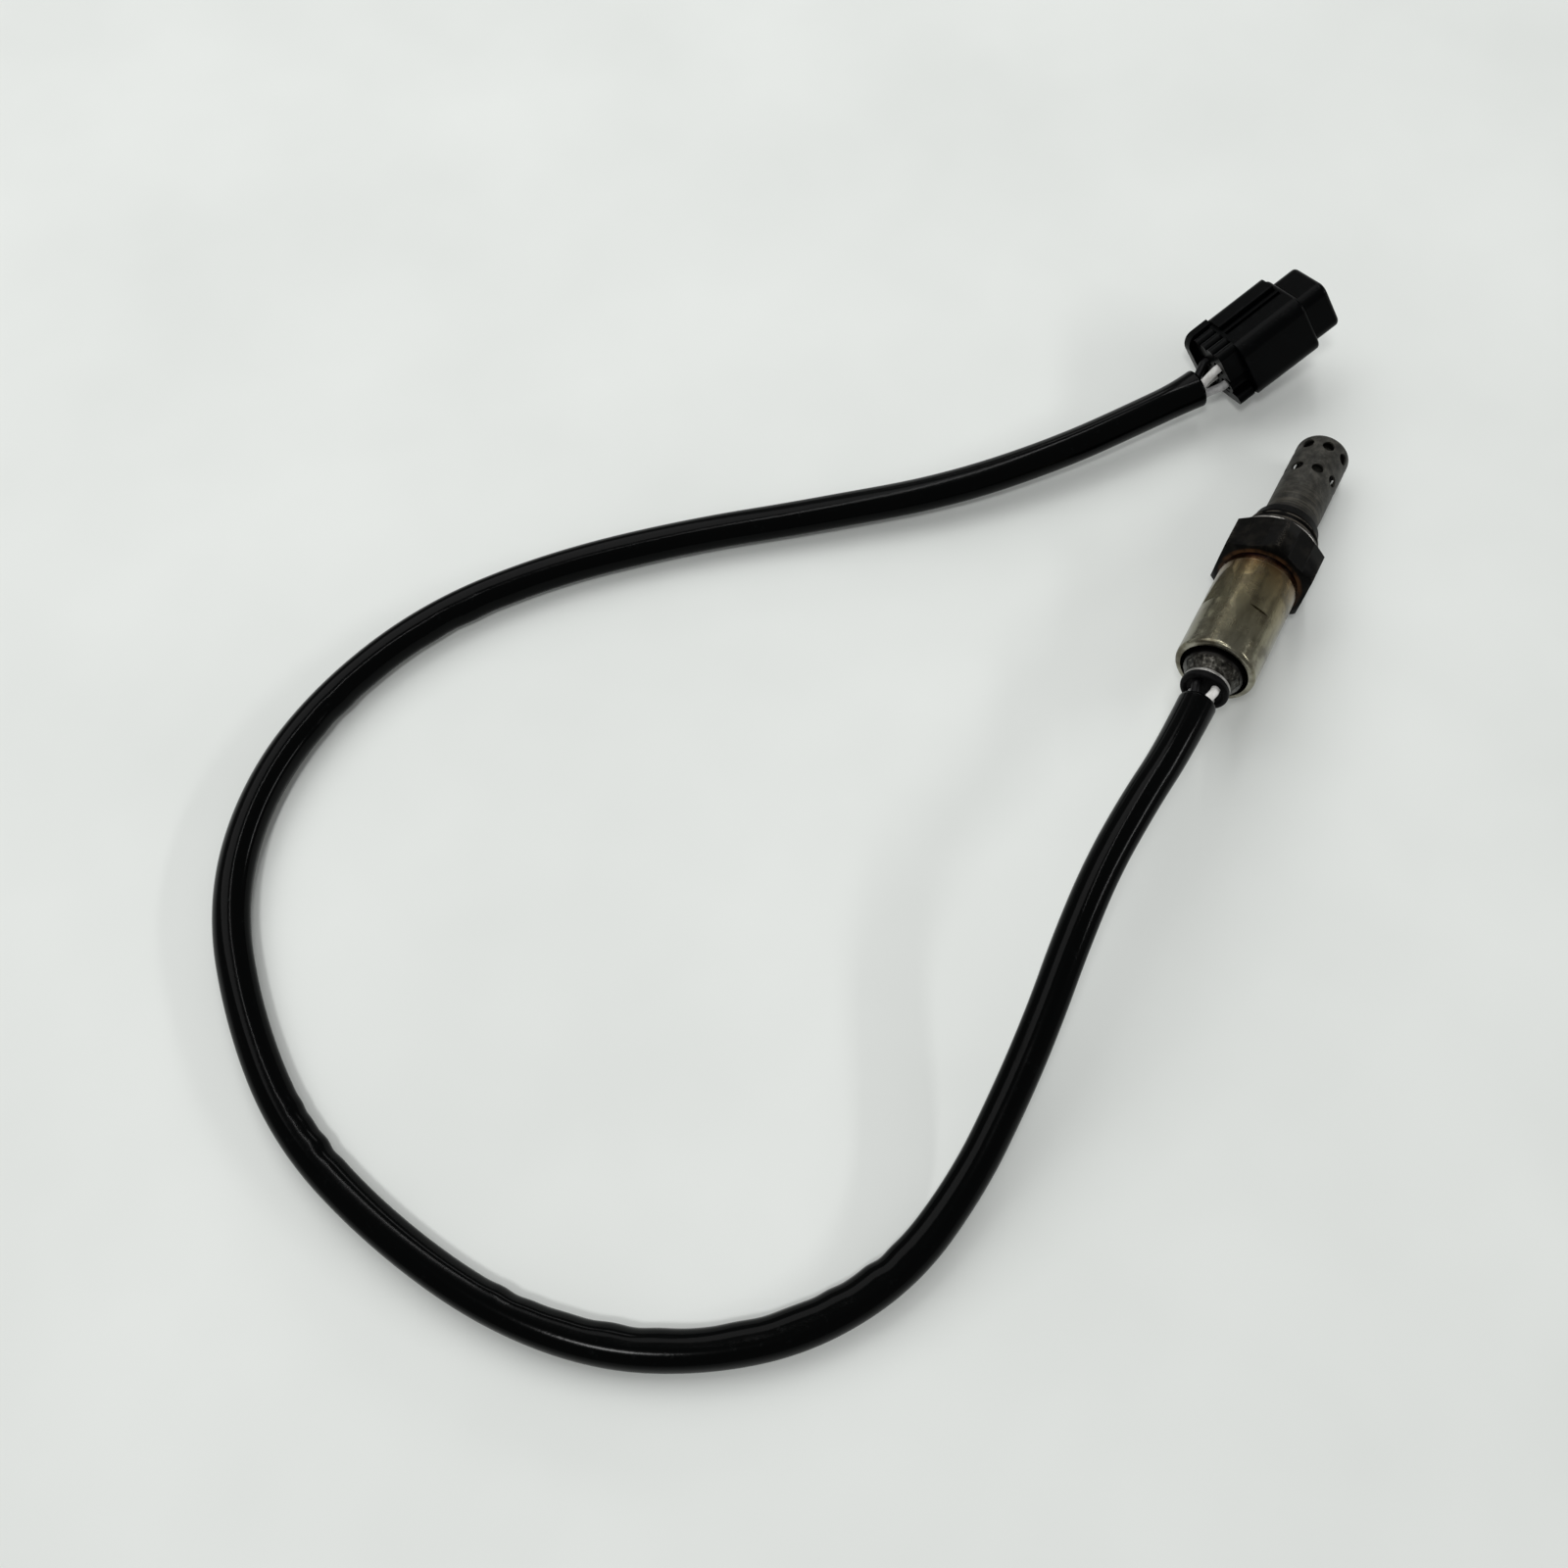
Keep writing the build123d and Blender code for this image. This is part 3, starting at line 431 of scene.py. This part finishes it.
    def mix(self, share, a, b, blend="MIX"):
        """Between two colours."""
        node = self.tree.nodes.new("ShaderNodeMix")
        node.data_type = "RGBA"
        node.blend_type = blend
        self.plug(node.inputs["Factor"], share)
        self.plug(node.inputs[6], a)
        self.plug(node.inputs[7], b)
        return node.outputs[2]

    def blend(self, share, a, b):
        """Between two numbers."""
        node = self.tree.nodes.new("ShaderNodeMix")
        self.plug(node.inputs["Factor"], share)
        self.plug(node.inputs[2], a)
        self.plug(node.inputs[3], b)
        return node.outputs[0]

    def bump(self, height, depth):
        """Fine relief: a height of 1 stands depth mm proud."""
        node = self.tree.nodes.new("ShaderNodeBump")
        node.inputs["Strength"].default_value = 1.0
        node.inputs["Distance"].default_value = depth * MM
        self.plug(node.inputs["Height"], height)
        self.put("Normal", node.outputs[0])

    def wear(self, *items):
        """Give the material to CAD nodes, by name, and to pieces of the scene."""
        for item in items:
            if isinstance(item, str):
                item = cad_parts[item]
            item.data.materials.clear()
            item.data.materials.append(self.mat)


def cloudy(name, items, cloud, low, high, relief, **sockets):
    """A material of one cloudy colour between two stops; relief is size, detail and depth."""
    look = Look(name, **sockets)
    look.put("Base Color", look.ramp(look.noise(**cloud), [low, high]))
    size, detail, depth = relief
    look.bump(look.noise(size, detail), depth)
    look.wear(*items)


# hexagon and shank: black oxide over plated steel, brown where the heat has reached it
look = Look("housing_steel", Specular_IOR_Level=0.045)
radius, height = look.radius(), look.along()
cloud = look.noise(3.6, 5)
grain = look.noise(0.35, 3, shift=4.0)
worn = look.span(look.noise(0.9, 6, 0.7, shift=9.0), 0.60, 0.74)
colour = look.ramp(cloud, [
    (0.3, (0.0008, 0.0008, 0.0007)),
    (0.52, (0.0018, 0.0017, 0.0014)),
    (0.75, (0.010, 0.0088, 0.0070)),
])
colour = look.mix(look.times(worn, 0.25), colour, (0.04, 0.036, 0.030))
edge = look.times(look.span(radius, *HEX_CORNER_R), look.span(grain, 0.45, 0.6))
colour = look.mix(edge, colour, (0.028, 0.025, 0.021))
# the thread's crests lighter than its dark roots: a painted highlight
crest_highlight = look.times(look.span(radius, *THREAD_CREST_R), look.span(cloud, 0.36, 0.52))
shank = look.mix(crest_highlight, (0.0010, 0.0009, 0.0008), (0.060, 0.054, 0.044))
colour = look.mix(look.span(height, *SHANK_HEIGHT), colour, shank)
scorch = look.times(look.span(radius, *SCORCH_R), look.span(height, *SCORCH_HEIGHT))
scorch = look.times(scorch, look.span(cloud, 0.30, 0.60))
colour = look.mix(scorch, colour, (0.048, 0.022, 0.0085))
look.put("Base Color", colour)
look.put("Roughness", look.blend(cloud, 0.34, 0.48))
look.bump(grain, 0.02)
look.wear(housing)

# crush gasket, with a painted highlight along its outer edge
look = Look("gasket_steel", Metallic=0.85)
tone = look.noise(1.6, 4)
# a light band round the gasket's outer edge, broken up by noise: a painted highlight
edge_highlight = look.band(look.along(), *GASKET_EDGE)
edge_highlight = look.times(edge_highlight, look.span(look.radius(), *GASKET_EDGE_R))
edge_highlight = look.times(edge_highlight, look.span(tone, 0.2, 0.5))
dull = look.ramp(tone, [(0.35, (0.010, 0.009, 0.008)), (0.7, (0.035, 0.031, 0.027))])
look.put("Base Color", look.mix(edge_highlight, dull, (0.34, 0.33, 0.31)))
look.put("Roughness", look.blend(tone, 0.30, 0.5))
look.bump(look.noise(0.5, 3), 0.03)
look.wear("seat_gasket")

# protection tubes: soot over stainless sheet, brown and ringed near the housing
look = Look("tube_steel", Metallic=0.3, Specular_IOR_Level=0.2)
soot = look.noise(2.6, 6, 0.62)
speck = look.noise(0.45, 3, 0.6, shift=3.0)
rings = look.turned_noise(9.0, 0.55, 4, shift=2.0)
tone = look.ramp(soot, [
    (0.30, (0.011, 0.011, 0.0092)),
    (0.5, (0.030, 0.0290, 0.0245)),
    (0.72, (0.070, 0.067, 0.057)),
])
tone = look.mix(look.times(look.span(speck, 0.60, 0.74), 0.5), tone, (0.10, 0.098, 0.088))
brown = look.mix(look.span(rings, 0.40, 0.62), (0.010, 0.009, 0.007), (0.062, 0.056, 0.042))
tone = look.mix(look.times(look.span(look.along(), *TUBE_BROWN_HEIGHT), 0.55), tone, brown)
dark = look.by_height([
    (8.0, 0.25), (10.0, 0.6), (12.0, 1.0), (32.0, 1.0), (36.2, 1.05), (37.6, 0.5),
])
look.put("Base Color", look.mix(1.0, tone, dark, "MULTIPLY"))
look.put("Roughness", look.blend(soot, 0.62, 0.46))
look.bump(look.plus(look.times(soot, 0.5), look.times(speck, 0.6)), 0.06)
look.wear("outer_protection_tube", "inner_protection_tube")

# outer shell: satin stainless, straw and bronze by heat near the hexagon
look = Look("shell_steel", Metallic=1.0)
tint = look.by_height([
    # the light stop on the rim's rounded edge: a painted highlight
    (-41.6, (0.40, 0.39, 0.34)),
    (-41.2, (0.225, 0.214, 0.160)),
    (-36.0, (0.205, 0.194, 0.137)),
    (-28.0, (0.205, 0.187, 0.121)),
    (-20.0, (0.205, 0.171, 0.095)),
    (-15.5, (0.182, 0.131, 0.061)),
    (-13.5, (0.130, 0.077, 0.032)),
    (-13.15, (0.36, 0.27, 0.15)),
    (-12.9, (0.050, 0.024, 0.018)),
    (-12.5, (0.20, 0.100, 0.042)),
    (-11.9, (0.115, 0.048, 0.030)),
    (-11.3, (0.052, 0.020, 0.034)),
    (-10.9, (0.024, 0.013, 0.018)),
])
streak = look.turned_noise(2.0, 9.0, 4)
smudge = look.noise(5.5, 5, 0.6, shift=2.0)
fine = look.turned_noise(0.25, 2.4, 2)
tint = look.mix(look.times(look.span(streak, 0.42, 0.66), 0.5), tint, (0.085, 0.074, 0.044))
tint = look.mix(look.times(look.span(smudge, 0.47, 0.66), 0.7), tint, (0.058, 0.049, 0.031))
look.put("Base Color", tint)
rough = look.blend(look.span(smudge, 0.4, 0.7), 0.15, 0.28)
look.put("Roughness", look.plus(rough, look.times(fine, 0.08)))
look.bump(look.plus(look.times(fine, 0.3), look.times(smudge, 2.4)), 0.06)
look.wear("outer_shell")

# inner sleeve and its crimped neck: duller steel, with painted shade inside the shell's rim
look = Look("neck_steel", Metallic=0.9)
height = look.along()
tone = look.noise(1.1, 6, 0.65)
colour = look.ramp(tone, [
    (0.36, (0.003, 0.0028, 0.0022)),
    (0.5, (0.026, 0.0245, 0.020)),
    (0.68, (0.13, 0.126, 0.112)),
])
# dark band on the neck deep inside the shell's rim: painted shade
colour = look.mix(look.span(height, *NECK_PAINTED_SHADE_HEIGHT), colour, (0.006, 0.0055, 0.005))
colour = look.mix(look.span(height, *NECK_ROLL_HEIGHT), colour, (0.30, 0.295, 0.28))
look.put("Base Color", colour)
look.put("Roughness", look.blend(tone, 0.5, 0.3))
look.bump(look.noise(0.8, 4), 0.07)
look.wear("neck_sleeve")

# black rubber grommet
look = Look("grommet_rubber", Roughness=0.5, Specular_IOR_Level=0.06)
dust = look.noise(1.2, 5, shift=1.0)
colour = look.ramp(dust, [(0.4, (0.0010, 0.0010, 0.0011)), (0.8, (0.0045, 0.0045, 0.0048))])
look.put("Base Color", colour)
look.bump(dust, 0.04)
look.wear("lead_grommet")

# glossy black sleeve
look = Look("tube_rubber", Specular_IOR_Level=0.06)
film = look.noise(14.0, 5, 0.6)
scuff = look.span(look.noise(2.0, 5, 0.65, shift=5.0), 0.58, 0.76)
look.put("Base Color", look.mix(scuff, (0.0006, 0.0008, 0.0008), (0.0022, 0.0026, 0.0026)))
look.put("Roughness", look.plus(look.blend(film, 0.10, 0.18), look.times(scuff, 0.10)))
look.bump(look.noise(1.4, 3, shift=8.0), 0.015)
look.wear(tube)

# lead insulation
for name, leads, low, high, rough in (
    ("lead_white", ["lead_white_1", "lead_white_2"], (0.62, 0.61, 0.58), (0.84, 0.83, 0.81), 0.42),
    ("lead_grey", ["lead_grey"], (0.30, 0.30, 0.30), (0.46, 0.46, 0.455), 0.45),
    ("lead_black", ["lead_black"], (0.0012, 0.0012, 0.0014), (0.004, 0.004, 0.0045), 0.40),
):
    cloudy(name, leads, dict(size=1.3, detail=4, shift=6.0), (0.35, low), (0.62, high),
           (0.6, 3, 0.03), Roughness=rough, Specular_IOR_Level=0.12)

# satin black moulded plug, with its lock, terminals and seals
look = Look("plug_plastic", Specular_IOR_Level=0.05)
satin = look.noise(0.22, 2, shift=1.0)
rubbed = look.span(look.noise(3.0, 6, 0.65, shift=3.0), 0.55, 0.75)
look.put("Base Color", look.mix(rubbed, (0.0006, 0.0008, 0.0009), (0.0022, 0.0026, 0.0030)))
look.put("Roughness", look.blend(rubbed, 0.28, 0.42))
look.bump(satin, 0.010)
look.wear("plug_housing")

cloudy("lock_plastic", ["terminal_lock"], dict(size=1.5, detail=4),
       (0.4, (0.010, 0.010, 0.011)), (0.7, (0.022, 0.022, 0.024)),
       (0.3, 2, 0.012), Roughness=0.45, Specular_IOR_Level=0.3)
cloudy("seal_rubber", ["wire_seals"], dict(size=0.8, detail=4),
       (0.4, (0.006, 0.006, 0.0065)), (0.7, (0.015, 0.015, 0.016)),
       (0.4, 3, 0.02), Roughness=0.55, Specular_IOR_Level=0.3)

look = Look("terminal_metal", Metallic=1.0)
colour = look.ramp(look.noise(1.0, 4), [(0.4, (0.42, 0.38, 0.28)), (0.7, (0.60, 0.56, 0.45))])
look.put("Base Color", colour)
look.put("Roughness", look.blend(look.noise(0.6, 3), 0.25, 0.4))
look.wear("plug_terminals")

# what is sealed inside; each material goes by the name of its first piece
for names, low, high, rough, metal in (
    (["sensing_element", "heater_rod", "ceramic_ring", "rear_insulator"],
     (0.68, 0.66, 0.60), (0.84, 0.83, 0.79), 0.5, 0.0),
    (["talc_ring"],
     (0.48, 0.47, 0.44), (0.66, 0.65, 0.62), 0.8, 0.0),
    (["sealing_washer", "crimp_ring"],
     (0.36, 0.36, 0.36), (0.52, 0.52, 0.52), 0.35, 1.0),
    (["ground_contact", "signal_contact", "heater_contact_1", "heater_contact_2"],
     (0.46, 0.44, 0.40), (0.62, 0.60, 0.56), 0.3, 1.0),
):
    cloudy(names[0], names, dict(size=1.8, detail=5), (0.35, low), (0.65, high),
           (0.5, 3, 0.015), Roughness=rough, Metallic=metal)

# ---------------------------------------------------------------- floor and light
FLOOR_HALF = 4000.0
WORLD_STRENGTH = 0.26
LAMP_AIM = Vector((-0.08, 0.08, 0.0))      # metres, about the middle of the loop
# name, place and size in metres, power in watts
LAMPS = [
    ("key", (0.35, 1.3, 1.5), (2.2, 1.4), 20),
    ("overhead", (-0.80, 0.05, 1.6), (0.22, 0.22), 7),
    ("right_window", (0.62, -1.25, 0.80), (0.9, 0.10), 5.5),
    ("far_window", (1.5, 0.5, 0.60), (0.9, 0.2), 2.5),
    ("strip", (0.55, 0.30, 1.5), (0.05, 1.2), 3.8),
]

square = [(-1, -1), (1, -1), (1, 1), (-1, 1)]
floor = new_object(
    "floor", [(x * FLOOR_HALF, y * FLOOR_HALF, SURFACE_Z) for x, y in square], [(0, 1, 2, 3)],
    smooth=False)
look = Look("floor_white", Roughness=0.55)
pale = look.noise(90.0, 3)
look.put("Base Color", look.ramp(pale, [(0.3, (0.70, 0.725, 0.70)), (0.7, (0.76, 0.785, 0.76))]))
look.wear(floor)

world = bpy.data.worlds.new("studio")
world.use_nodes = True
sky = world.node_tree.nodes["Background"]
sky.inputs["Color"].default_value = (1.0, 1.0, 1.0, 1.0)
sky.inputs["Strength"].default_value = WORLD_STRENGTH
bpy.context.scene.world = world

for name, place, size, power in LAMPS:
    lamp = bpy.data.lights.new(name, "AREA")
    lamp.shape = "RECTANGLE"
    lamp.size, lamp.size_y = size
    lamp.energy = power
    item = bpy.data.objects.new(name, lamp)
    bpy.context.scene.collection.objects.link(item)
    item.location = place
    item.rotation_euler = (LAMP_AIM - Vector(place)).to_track_quat("-Z", "Y").to_euler()

bpy.context.scene.view_settings.view_transform = "Standard"
